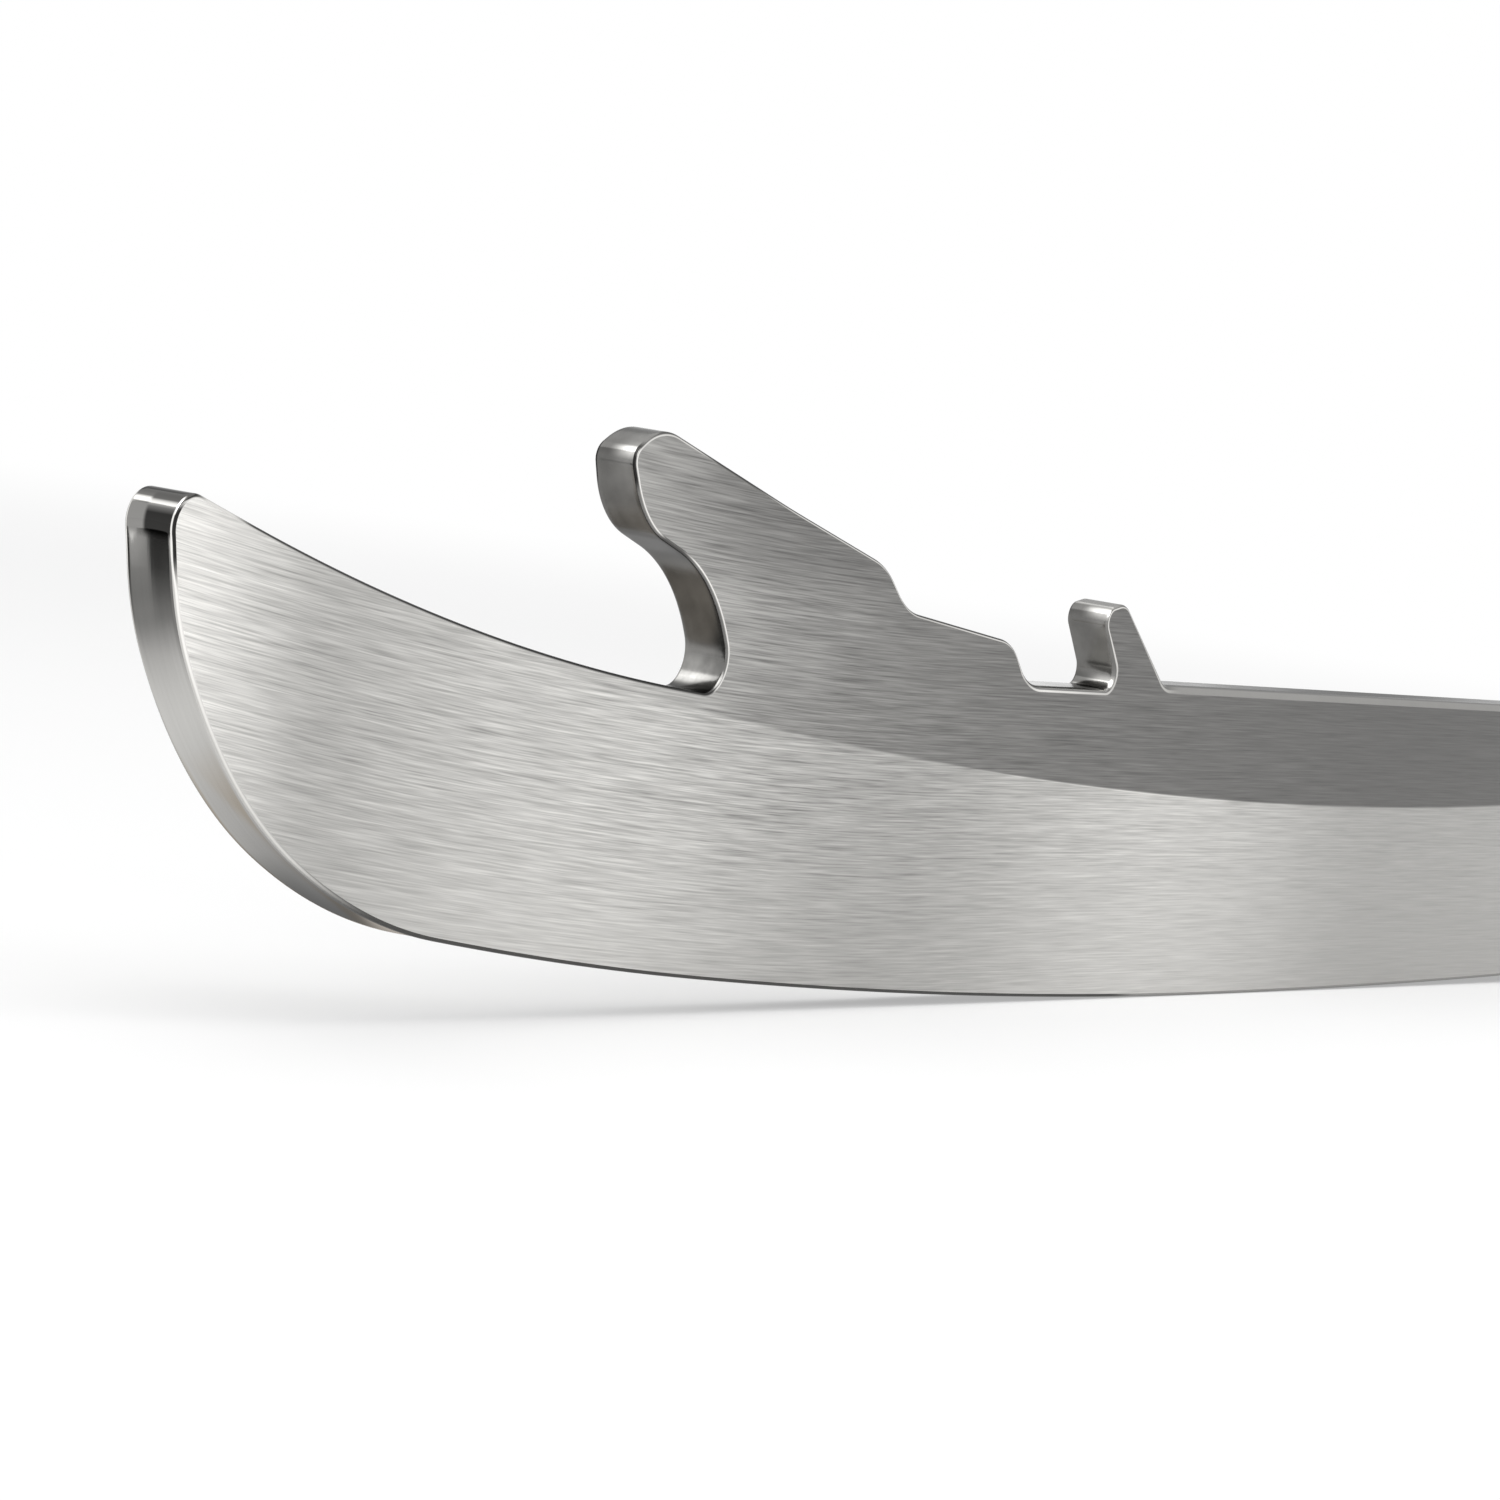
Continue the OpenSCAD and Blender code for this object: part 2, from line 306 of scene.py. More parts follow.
# The border's points come first, in order, so that the edge face can find them by number
order = [place_of[i] for i in range(count)]
used = set(v for face in faces for v in face)
order += [v for v in sorted(used) if v not in set(order)]
number = {v: i for i, v in enumerate(order)}
plate_points = [points[v] for v in order]
plate_faces = [[number[v] for v in face] for face in faces]
print("plate:", len(plate_points), "points,", len(plate_faces), "triangles")

# %% [markdown]
# ### What the plate remembers
#
# Every border point keeps what the edge face needs: the way into the steel, the half thickness, the rim
# and its share of the hollow. Two more values are for the finish and for its painted light and shade: how
# far the side is ground back, and how much the edge face looks up. Values stored on the mesh stay with
# the surface in any pose.

# %% Make the plate a mesh with its values
plate = bpy.data.meshes.new("side_plate")
plate.from_pydata([mm(p.x, 0, p.y) for p in plate_points], [], plate_faces)


def store(name, values):
    attribute = plate.attributes.new(name, "FLOAT", "POINT")
    attribute.data.foreach_set("value", values)


spare = [0.0] * (len(plate_points) - count)
into_steel = plate.attributes.new("inward", "FLOAT_VECTOR", "POINT")
into_steel.data.foreach_set("vector", [v for n in inward for v in (n.x, 0.0, n.y)] + spare * 3)
store("half", [half_thickness(p.x, p.y) * MM for p in plate_points])
store("rim", [p[2] * MM for p in outline] + spare)
store("faces_up", [-n.y for n in inward] + spare)
store("running_edge", [p[3] for p in outline] + spare)
store("relief", [ground_back(p.x, p.y) for p in plate_points])
runner = bpy.data.objects.new("runner_steel", plate)
bpy.context.scene.collection.objects.link(runner)
print("values on the plate:", [a.name for a in plate.attributes if not a.name.startswith(".")])

# %% [markdown]
# ## From plate to blade
#
# The rest of the blade follows a rule, so Geometry Nodes make it. The plate is set out to both sides by
# its own half thickness. A grid is then bent into the edge face: one way it runs round the outline, the
# other way it crosses the thickness, over the near rim, through the hollow and over the far rim.
# The hollow is part of a circle as long as the grinding wheel's radius, and it exists only on the
# running edge. Where the near rim is wider than the common one, the far rim keeps the common width
# across the thickness. All three are welded, and an edge is kept sharp where a grinder leaves it sharp.

# %% Helpers for node trees
def is_linked(value):
    return isinstance(value, bpy.types.NodeSocket)


def add_node(tree, kind, inputs=None, **settings):
    """A node with its settings, its input values, and links from other nodes' outputs."""
    node = tree.nodes.new(kind)
    for name, value in settings.items():
        setattr(node, name, value)
    for key, value in (inputs or {}).items():
        if is_linked(value):
            tree.links.new(value, node.inputs[key])
        else:
            node.inputs[key].default_value = value
    return node


def maths(operation, *values):
    """A math node of numbers and outputs, in the tree that the outputs belong to."""
    tree = next(value.id_data for value in values if is_linked(value))
    return add_node(tree, "ShaderNodeMath", dict(enumerate(values)), operation=operation).outputs[0]


def plus(a, b):
    return maths("ADD", a, b)


def minus(a, b):
    return maths("SUBTRACT", a, b)


def times(first, *others):
    for value in others:
        first = maths("MULTIPLY", first, value)
    return first


def times_plus(a, b, c):
    return maths("MULTIPLY_ADD", a, b, c)


def divided(a, b):
    return maths("DIVIDE", a, b)


def larger(a, b):
    return maths("MAXIMUM", a, b)


def smaller(a, b):
    return maths("MINIMUM", a, b)


def is_over(a, b):
    return maths("GREATER_THAN", a, b)


def blend(share, a, b):
    """a where the share is 0, b where it is 1."""
    return add_node(share.id_data, "ShaderNodeMix", {0: share, 2: a, 3: b}, data_type="FLOAT").outputs[0]


print("helpers for trees are ready")

# %% The blade tree's named inputs
WHEEL_RADIUS = 12.7      # the common half-inch grind
blade = bpy.data.node_groups.new("blade_from_plate", "GeometryNodeTree")
blade.interface.new_socket("Plate", in_out="INPUT", socket_type="NodeSocketGeometry")
for name, value, low in (("Border Points", 100, 3), ("Rim Steps", 5, 1), ("Hollow Steps", 10, 2)):
    socket = blade.interface.new_socket(name, in_out="INPUT", socket_type="NodeSocketInt")
    socket.default_value, socket.min_value = value, low
wheel = blade.interface.new_socket("Wheel Radius", in_out="INPUT", socket_type="NodeSocketFloat")
wheel.default_value = WHEEL_RADIUS * MM
blade.interface.new_socket("Steel", in_out="INPUT", socket_type="NodeSocketMaterial")
blade.interface.new_socket("Blade", in_out="OUTPUT", socket_type="NodeSocketGeometry")
given = blade.nodes.new("NodeGroupInput").outputs
print("inputs:", [output.name for output in given if output.name])


# %% Helpers for the blade tree
def named(name, kind="FLOAT"):
    """A value that is stored on the mesh, at each of its points."""
    return add_node(blade, "GeometryNodeInputNamedAttribute", {"Name": name}, data_type=kind).outputs[0]


def at_border(value, index, kind="FLOAT"):
    """The plate's own value at the border point with this number."""
    inputs = {"Geometry": given["Plate"], "Value": value, "Index": index}
    return add_node(blade, "GeometryNodeSampleIndex", inputs, data_type=kind, domain="POINT").outputs[0]


def scaled(vector, factor):
    inputs = {0: vector, "Scale": factor}
    return add_node(blade, "ShaderNodeVectorMath", inputs, operation="SCALE").outputs[0]


def added(a, b):
    return add_node(blade, "ShaderNodeVectorMath", {0: a, 1: b}, operation="ADD").outputs[0]


def sideways(value):
    return add_node(blade, "ShaderNodeCombineXYZ", {"Y": value}).outputs[0]


def moved(geometry, **where):
    return add_node(blade, "GeometryNodeSetPosition", {"Geometry": geometry, **where}).outputs[0]


def flipped(geometry):
    return add_node(blade, "GeometryNodeFlipFaces", {"Mesh": geometry}).outputs[0]


def marked(geometry, name, value, domain="POINT"):
    inputs = {"Geometry": geometry, "Name": name, "Value": value}
    node = add_node(blade, "GeometryNodeStoreNamedAttribute", inputs, data_type="FLOAT", domain=domain)
    return node.outputs[0]


def shaded(geometry, smooth, selection=True, domain="FACE"):
    inputs = {0: geometry, "Selection": selection, "Shade Smooth": smooth}
    return add_node(blade, "GeometryNodeSetShadeSmooth", inputs, domain=domain).outputs[0]


print("helpers for the blade tree are ready")

# %% The two sides, and the grid that becomes the edge face
half = named("half")
near = moved(given["Plate"], Offset=sideways(times(half, -1.0)))
far = flipped(moved(given["Plate"], Offset=sideways(half)))

# A row of the grid is a border point, and a ring of it runs round the outline
across = plus(times(given["Rim Steps"], 2.0), given["Hollow Steps"])
rows = plus(given["Border Points"], 1.0)
grid_size = {"Vertices X": plus(across, 1.0), "Vertices Y": rows}
grid = add_node(blade, "GeometryNodeMeshGrid", grid_size).outputs[0]
index = add_node(blade, "GeometryNodeInputIndex").outputs[0]
ring_number = maths("FLOOR", divided(plus(index, 0.5), rows))
row_number = minus(index, times(ring_number, rows))
border_point = maths("MODULO", row_number, given["Border Points"])

# Distance from the middle ring, split into the hollow's part and the rim's part
off_middle = minus(ring_number, times(across, 0.5))
distance = maths("ABSOLUTE", off_middle)
half_hollow = times(given["Hollow Steps"], 0.5)
in_hollow = smaller(divided(distance, half_hollow), 1.0)
rim_turn = divided(larger(minus(distance, half_hollow), 0.0), given["Rim Steps"])
angle = times(rim_turn, math.pi / 2)
print("blade tree so far:", len(blade.nodes), "nodes")


# %% Bend the grid into rims and hollow
def drop(y):
    """How far the wheel's circle is from its own centre line at a place across the edge."""
    wheel_squared = times(given["Wheel Radius"], given["Wheel Radius"])
    return maths("SQRT", minus(wheel_squared, times(y, y)))


rim = at_border(named("rim"), border_point)
rim_across = blend(is_over(off_middle, 0.0), rim, smaller(rim, RIM * MM))
flat = minus(at_border(half, border_point), rim_across)
y_hollow = times(flat, in_hollow)
running_share = at_border(named("running_edge"), border_point)
depth = times(minus(drop(y_hollow), drop(flat)), running_share)
inset = minus(depth, times(rim, maths("COSINE", angle)))
y = plus(y_hollow, times(rim_across, maths("SINE", angle)))

position = add_node(blade, "GeometryNodeInputPosition").outputs[0]
on_border = at_border(position, border_point, "FLOAT_VECTOR")
into_steel = at_border(named("inward", "FLOAT_VECTOR"), border_point, "FLOAT_VECTOR")
wall_place = added(on_border, scaled(into_steel, inset))
wall_place = added(wall_place, sideways(times(y, maths("SIGN", off_middle))))
wall = flipped(moved(grid, Position=wall_place))
for name in ("relief", "running_edge", "faces_up"):
    wall = marked(wall, name, at_border(named(name), border_point))
wall = marked(wall, "rim_turn", rim_turn)
near, far = (marked(part, "rim_turn", 1.0) for part in (near, far))
print("blade tree so far:", len(blade.nodes), "nodes")

# %% Weld, and keep sharp what a grinder leaves sharp
WELD = 0.0005                    # mm
LEDGE_BEND = math.radians(2)     # a side bends more than this only at the ledge
join = add_node(blade, "GeometryNodeJoinGeometry")
for part, is_on_side in ((wall, 0.0), (near, 1.0), (far, 1.0)):
    blade.links.new(marked(part, "side", is_on_side, "FACE"), join.inputs[0])
welding = {"Geometry": join.outputs[0], "Distance": WELD * MM}
welded = add_node(blade, "GeometryNodeMergeByDistance", welding).outputs[0]

side_share = named("side")       # at an edge: the mean of its two faces
bend = add_node(blade, "GeometryNodeInputMeshEdgeAngle").outputs[0]
at_corner = times(is_over(side_share, 0.1), maths("LESS_THAN", side_share, 0.9))
at_ledge = times(is_over(bend, LEDGE_BEND), is_over(side_share, 0.9))
is_sharp = is_over(plus(at_corner, at_ledge), 0.5)
sharpened = shaded(shaded(welded, True), False, is_sharp, "EDGE")
solid = add_node(blade, "GeometryNodeRealizeInstances", {0: sharpened}).outputs[0]
finished = add_node(blade, "GeometryNodeSetMaterial", {0: solid, "Material": given["Steel"]}).outputs[0]
blade.links.new(finished, blade.nodes.new("NodeGroupOutput").inputs["Blade"])
print("blade tree:", len(blade.nodes), "nodes")

# %% [markdown]
# ## Brushed stainless steel
#
# The sides are finished on a belt, so they carry fine streaks along the length, of uneven width and
# depth. On the running edge the wheel's lines follow the outline, side by side across the thickness, and
# the cut edge elsewhere is only mottled. Noise stretched along one axis makes the streaks. It changes
# colour, roughness and bump together, as a real scratch does. Everything reads the object's own
# coordinates or the values stored on the mesh, so nothing slides when the view changes.

# %% Helpers for the steel
steel = bpy.data.materials.new("brushed_steel")
steel.use_nodes = True
steel_tree = steel.node_tree
steel_tree.nodes.clear()


def on_surface(name):
    """A value that is stored on the mesh."""
    node = add_node(steel_tree, "ShaderNodeAttribute", attribute_name=name, attribute_type="GEOMETRY")
    return node.outputs["Fac"]


def ramp(value, low, high, to_low=0.0, to_high=1.0, kind="SMOOTHSTEP"):
    """One level up to low, another from high on, and an eased slope between. low may be the larger."""
    inputs = {0: value, 1: low, 2: high, 3: to_low, 4: to_high}
    return add_node(value.id_data, "ShaderNodeMapRange", inputs, interpolation_type=kind).outputs[0]


def curve(value, stops):
    """Straight lines between stops given as (value, result), from low to high."""
    result = stops[0][1]
    for (x0, y0), (x1, y1) in zip(stops, stops[1:]):
        result = plus(ramp(value, x0, x1, 0.0, y1 - y0, "LINEAR"), result)
    return result


def band(value, start, full, fade, end):
    """1 between full and fade, 0 before start and after end."""
    return times(ramp(value, start, full), ramp(value, end, fade))


# Places on the runner, in mm: x from the toe tip, y across, z above the ice
on_object = add_node(steel_tree, "ShaderNodeTexCoord").outputs["Object"]
place_xyz = add_node(steel_tree, "ShaderNodeSeparateXYZ", {0: on_object}).outputs
x_mm = times_plus(place_xyz["X"], 1 / MM, MID)
y_mm = times(place_xyz["Y"], 1 / MM)
z_mm = times(place_xyz["Z"], 1 / MM)
print("steel tree so far:", len(steel_tree.nodes), "nodes")

# %% [markdown]
# ### Streaks
#
# Three noises of different width are added up, because a real belt has coarse and fine grit. Near both
# ends the belt followed the upswept curve, so the place that the noise reads bends there. Scales are
# waves per metre, and a high one across the streaks with a low one along them makes lines.

# %% Streaks on the sides, wheel lines on the running edge, mottling on the cut edge
STRAIGHT_TO = 0.047          # metres from the middle, where the streaks begin to bend
BELT_BEND = 0.9              # times the square of the way past that place
past_straight = larger(minus(maths("ABSOLUTE", place_xyz["X"]), STRAIGHT_TO), 0.0)
bent_z = minus(place_xyz["Z"], times(past_straight, past_straight, BELT_BEND))
belt_inputs = {"X": place_xyz["X"], "Y": place_xyz["Y"], "Z": bent_z}
belt_place = add_node(steel_tree, "ShaderNodeCombineXYZ", belt_inputs).outputs[0]


def grain(waves, detail, shift):
    """Noise with its own waves per metre along x, y and z. The shift keeps two noises unlike."""
    inputs = {0: belt_place, "Scale": waves, "Location": (shift, shift, shift)}
    stretched = add_node(steel_tree, "ShaderNodeMapping", inputs).outputs[0]
    inputs = {"Vector": stretched, "Scale": 1.0, "Detail": detail, "Roughness": 0.55}
    return add_node(steel_tree, "ShaderNodeTexNoise", inputs, noise_dimensions="3D").outputs[0]


fine = grain((190.0, 20.0, 10400.0), detail=2.0, shift=0.0)
medium = grain((105.0, 20.0, 5600.0), detail=2.0, shift=3.7)
broad = grain((50.0, 20.0, 1900.0), detail=2.0, shift=8.1)
patch = grain((45.0, 45.0, 70.0), detail=3.0, shift=5.3)
smudge = grain((420.0, 600.0, 420.0), detail=4.0, shift=2.2)
wheel_lines = grain((90.0, 3800.0, 90.0), detail=3.0, shift=1.9)
streaks = times_plus(fine, 0.6, times_plus(medium, 0.3, times(broad, 0.1)))

is_side = on_surface("side")
rim_turn = on_surface("rim_turn")       # 0 on the edge face, 1 where the rim meets the side
running = on_surface("running_edge")
relief = on_surface("relief")
up = on_surface("faces_up")             # 1 where the edge face looks up, -1 where it looks down
texture = blend(is_side, blend(running, smudge, wheel_lines), streaks)
print("steel tree so far:", len(steel_tree.nodes), "nodes")

# %% [markdown]
# ### Tone of the sides
#
# A tone is how light the metal renders, painted light included. The running band is bright, with painted
# reflection in slow waves along it and a painted highlight at the toe. The ground-back region above the
# crease is painted darker, as shade, and darker still toward the rear. A thin painted highlight lies on
# the ledge below the gap and the tooth.

# %% Tone and streak contrast of the sides
BAND_TONE, TOE_HIGHLIGHT_GAIN, TOE_HIGHLIGHT_FADE = 0.487, 0.4, 16.0
PAINTED_WAVE_SWING, PAINTED_WAVE_LENGTH, PAINTED_WAVE_TOP = 0.09, 70.0, 38.0
WAVES_SLOW_FROM, SLOWED_BY = 143.0, 0.65      # past here the waves are nearly three times as long
slow_x = times_plus(larger(minus(x_mm, WAVES_SLOW_FROM), 0.0), -SLOWED_BY, x_mm)
# Painted reflection: slow waves of lighter and darker tone along the running band
wave = maths("COSINE", times(minus(slow_x, PAINTED_WAVE_TOP), 2 * math.pi / PAINTED_WAVE_LENGTH))
# A painted highlight that brightens the band near the toe
toe_highlight_share = ramp(x_mm, TOE_HIGHLIGHT_FADE, 0.0)
band_painted_tone = times_plus(toe_highlight_share, TOE_HIGHLIGHT_GAIN, times_plus(wave, PAINTED_WAVE_SWING, BAND_TONE))

# Above the crease the tone is painted shade. Its light part is halved every 14 mm toward the rear,
# and sooner high on the ramp
UPPER_PAINTED_LIGHT_GAIN, UPPER_MOST, UPPER_FROM, HALVED_EVERY = 0.17, 0.5, 56.0, 14.0
HIGH_FROM, HIGH_COUNTS = 23.5, 8.0
toward_rear = times_plus(larger(minus(z_mm, HIGH_FROM), 0.0), HIGH_COUNTS, x_mm)
relief_painted_light = maths("POWER", 2.0, times(minus(UPPER_FROM, toward_rear), 1 / HALVED_EVERY))
relief_painted_dark = ramp(x_mm, 95.0, 150.0, 0.148, 0.122)
relief_painted_shade_tone = smaller(times_plus(relief_painted_light, UPPER_PAINTED_LIGHT_GAIN, relief_painted_dark), UPPER_MOST)

# A painted highlight: a thin line of light on the ledge below the gap and the tooth
ledge_painted_highlight = times(band(relief, 0.02, 0.2, 0.4, 0.7), band(x_mm, 78.0, 92.0, 112.0, 136.0))
side_tone = times_plus(ledge_painted_highlight, 0.2, blend(relief, band_painted_tone, relief_painted_shade_tone))
by_length = curve(x_mm, [(0, 1.9), (35, 2.3), (60, 3.0), (140, 1.0)])
contrast = times(by_length, ramp(z_mm, 3.0, 14.0, 0.5, 1.0))
print("steel tree so far:", len(steel_tree.nodes), "nodes")

# %% [markdown]
# ### Tone of the cut edge
#
# The stamped edge was only tumbled, so it is duller than the sides. Its tone is painted reflection, given
# as a curve over how much the face looks up, once for the far half of the thickness and once for the near
# half: level tops and the lower flanks are painted dark, and a painted highlight lies where a top rounds
# over. The throat and the gap's floor get their own painted levels of reflected light.

# %% Cut edge, throat and gap
THROAT_X = (40.0, 44.0, 56.0, 58.0)       # start, full, fade, end
GAP_X = (86.5, 88.5, 97.5, 99.0)
GAP_FLOOR_PAINTED_LIGHT = 0.34
# Painted reflection by how much the edge face looks up, for the far half and the near half
far_painted_reflection = curve(up, [(-0.6, 0.16), (0.0, 0.17), (0.5, 0.12), (1.0, 0.1)])
near_painted_reflection = curve(up, [(-0.6, 0.19), (0.0, 0.24), (0.35, 0.6), (0.65, 0.65), (0.85, 0.13), (1.0, 0.11)])
near_half = ramp(y_mm, 0.6, -0.9)
cut_painted_tone = times(blend(near_half, far_painted_reflection, near_painted_reflection), ramp(smudge, 0.3, 0.7, 0.85, 1.15))

# The throat's own painted reflection
throat_painted_reflection = curve(up, [(0.0, 0.22), (0.4, 0.28), (0.65, 0.4), (0.9, 0.2), (1.0, 0.16)])
throat_painted_tone = times(throat_painted_reflection, ramp(smudge, 0.3, 0.7, 0.7, 1.3))
in_throat = times(band(x_mm, *THROAT_X), ramp(z_mm, 21.0, 19.5))
cut_painted_tone = blend(in_throat, cut_painted_tone, throat_painted_tone)
# The gap's floor is painted lighter, as the light it reflects
on_gap_floor = times(band(x_mm, *GAP_X), ramp(up, 0.8, 0.97))
cut_painted_tone = blend(on_gap_floor, cut_painted_tone, GAP_FLOOR_PAINTED_LIGHT)
print("steel tree so far:", len(steel_tree.nodes), "nodes")

# %% [markdown]
# ### Tone of the running edge and the tops
#
# The running edge is the one polished face. Its tone is painted reflection, lightest under the toe and
# dark further back. The toe's rounded top is painted as reflection too: a dark cap with one light line in
# each half. The level tops in front of the gap are seen almost along themselves and are painted nearly
# black as reflection, with a painted highlight for a few millimetres behind the toe.

# %% Running edge, toe cap and level tops
TOE_TOP_HIGHLIGHT_X = (1.5, 2.6, 4.4, 6.6)
# Painted reflection: light under the toe, dark further back
running_edge_painted_tone = ramp(x_mm, 20.5, 24.0, 0.58, 0.2)
# Painted reflection on the toe's rounded top: far half and near half
toe_far_painted_reflection = curve(up, [
    (0.05, 0.28), (0.5, 0.27), (0.54, 0.15), (0.59, 0.62), (0.66, 0.5), (0.74, 0.08), (1.0, 0.05)])
toe_near_painted_reflection = curve(up, [
    (0.05, 0.038), (0.28, 0.033), (0.45, 0.16), (0.56, 0.45), (0.62, 0.35), (0.7, 0.06), (1.0, 0.03)])
toe_cap_painted_reflection = blend(ramp(y_mm, 0.45, 0.2), toe_far_painted_reflection, toe_near_painted_reflection)
on_toe_cap = times(ramp(x_mm, 5.0, 3.5), ramp(z_mm, 24.0, 24.5), ramp(up, -0.281, -0.268))

# Level tops: painted nearly black as reflection, with a painted highlight behind the toe
level_top_painted_tone = times_plus(band(x_mm, *TOE_TOP_HIGHLIGHT_X), 0.75, 0.05)
on_level_top = times(ramp(up, 0.75, 0.93), ramp(x_mm, 90.0, 84.0), ramp(z_mm, 31.6, 30.6))
edge_tone = blend(running, cut_painted_tone, running_edge_painted_tone)
edge_tone = blend(on_toe_cap, edge_tone, toe_cap_painted_reflection)
edge_tone = blend(on_level_top, edge_tone, level_top_painted_tone)
print("steel tree so far:", len(steel_tree.nodes), "nodes")

# %% [markdown]
# ### The broken edge
#
# The rim between an edge face and a side takes its tone from both. A painted highlight runs along it in a
# thin line, and on the tops of the toe and the hook a painted dark line of reflection lies beside it. The
# bar's rim is wider and has an even painted tone, and the underside is painted dark, as shade. rim_turn
# says how far round the rim a point is.

# %% Tone of the rim before its painted highlight
UNDERSIDE_PAINTED_SHADE, DARK_LINE_PAINTED_REFLECTION = 0.09, 0.03
HOOK_TO_TOOTH_X = (33.0, 35.0, 110.0, 112.0)
HOOK_TOP_Z = (28.6, 29.4, 31.1, 31.5)
is_underside = ramp(up, -0.88, -0.97)
side_from = times_plus(on_level_top, 0.2, 0.5)
bare_rim = blend(ramp(minus(rim_turn, side_from), 0.0, 0.25), edge_tone, side_tone)
# The underside rim is painted dark, as shade
bare_rim = blend(is_underside, bare_rim, UNDERSIDE_PAINTED_SHADE)

on_hook = band(x_mm, *HOOK_TO_TOOTH_X)
on_toe_top = times(ramp(x_mm, 5.0, 4.0), ramp(z_mm, 21.5, 23.5))
# Painted dark lines of reflection beside the highlight, on the toe and hook tops
toe_painted_dark_line = times(on_toe_top, ramp(up, 0.9, 0.5), band(rim_turn, 0.36, 0.46, 0.96, 1.0))
hook_painted_dark_line = times(on_hook, band(z_mm, *HOOK_TOP_Z), band(rim_turn, 0.02, 0.12, 0.5, 0.66))
bare_rim = blend(larger(toe_painted_dark_line, hook_painted_dark_line), bare_rim, DARK_LINE_PAINTED_REFLECTION)

on_bar = ramp(x_mm, 104.0, 108.0)
# The bar's rim gets an even painted tone of reflection
bar_rim_painted_tone = curve(rim_turn, [(0.25, 0.17), (0.45, 0.38), (1.0, 0.35)])
bare_rim = blend(times(on_bar, ramp(rim_turn, 0.0, 0.1)), bare_rim, bar_rim_painted_tone)
print("steel tree so far:", len(steel_tree.nodes), "nodes")

# %% The painted highlight line along the rim
RIM_HIGHLIGHT_TONE, RAMP_HIGHLIGHT = 0.92, 0.75
line_place = times_plus(on_hook, 0.22, times_plus(on_toe_top, -0.38, 0.62))
line_width = times_plus(larger(on_hook, on_toe_top), -0.1, 0.28)
off_line = maths("ABSOLUTE", minus(rim_turn, line_place))
# Painted highlight: a thin bright line along the rim
rim_painted_highlight = ramp(off_line, line_width, 0.06)

# No painted highlight on the underside, the level tops and the bar's top, but a thin one along the ramp
is_plain = larger(larger(is_underside, on_level_top), times(on_bar, ramp(up, 0.6, 0.9)))
ramp_painted_highlight = times(on_level_top, ramp(x_mm, 52.0, 58.0), band(rim_turn, 0.62, 0.72, 0.85, 0.98))
rim_painted_highlight = larger(times(rim_painted_highlight, minus(1.0, is_plain)), times(ramp_painted_highlight, RAMP_HIGHLIGHT))
rim_painted_highlight = times(rim_painted_highlight, ramp(patch, 0.35, 0.6, 0.55, 1.0))
rim_tone = blend(rim_painted_highlight, bare_rim, RIM_HIGHLIGHT_TONE)
print("steel tree so far:", len(steel_tree.nodes), "nodes")

# %% [markdown]
# ### Put the steel together
#
# The tone is spread by the texture and by broad patches, then made very slightly warm, as stainless is.
# Steel is a metal with medium roughness. A belt's scratches smear a highlight across themselves, which
# the anisotropy does along the tangent. The edge faces would mirror too much at a glancing angle, so
# their Specular Tint, which is a metal's colour at that angle, is lower than the sides'.

# %% Colour, bump, roughness and the shader
WARMTH = {"Red": 1.014, "Green": 1.0, "Blue": 0.965}
EDGE_CONTRAST, PATCH_CONTRAST = 0.12, 0.1
EDGE_BUMP, SIDE_BUMP, BUMP_HEIGHT = 0.08, 0.3, 0.00002
EDGE_GLANCE = 0.62
tone = blend(is_side, rim_tone, side_tone)
spread = times_plus(minus(texture, 0.5), blend(is_side, EDGE_CONTRAST, contrast), 1.0)
patched = times_plus(minus(patch, 0.5), PATCH_CONTRAST, 1.0)
tone = times(tone, spread, patched)
tinted_tone = {name: times(tone, share) for name, share in WARMTH.items()}
colour = add_node(steel_tree, "ShaderNodeCombineColor", tinted_tone).outputs[0]

bump_strength = blend(is_side, EDGE_BUMP, SIDE_BUMP)
bump_inputs = {"Height": texture, "Strength": bump_strength, "Distance": BUMP_HEIGHT}
bump = add_node(steel_tree, "ShaderNodeBump", bump_inputs).outputs[0]
tangent_inputs = {"Y": minus(1.0, is_side), "Z": is_side}
tangent = add_node(steel_tree, "ShaderNodeCombineXYZ", tangent_inputs).outputs[0]
side_rough = plus(ramp(texture, 0.3, 0.7, 0.36, 0.26, "LINEAR"), times(patch, 0.06))
polished_rough = times_plus(patch, 0.05, 0.05)
cut_rough = times_plus(smudge, 0.16, 0.14)
edge_rough = blend(larger(running, on_toe_cap), cut_rough, polished_rough)
glance = blend(is_side, EDGE_GLANCE, 1.0)
glance_inputs = {"Red": glance, "Green": glance, "Blue": glance}
glance_tint = add_node(steel_tree, "ShaderNodeCombineColor", glance_inputs).outputs[0]
shader = add_node(steel_tree, "ShaderNodeBsdfPrincipled", {
    "Base Color": colour, "Metallic": 1.0, "Roughness": blend(is_side, edge_rough, side_rough),
    "Specular Tint": glance_tint, "Anisotropic": 0.5, "Tangent": tangent, "Normal": bump})
add_node(steel_tree, "ShaderNodeOutputMaterial", {"Surface": shader.outputs[0]})
print("steel tree:", len(steel_tree.nodes), "nodes")

# %% [markdown]
# ## Run the tree
#
# A modifier keeps its tree live, but the export needs plain triangles. So the tree runs once, its result
# is kept as the runner's own mesh, and the modifier goes. The runner then stands for the CAD solid and
# rides on the model's one body.

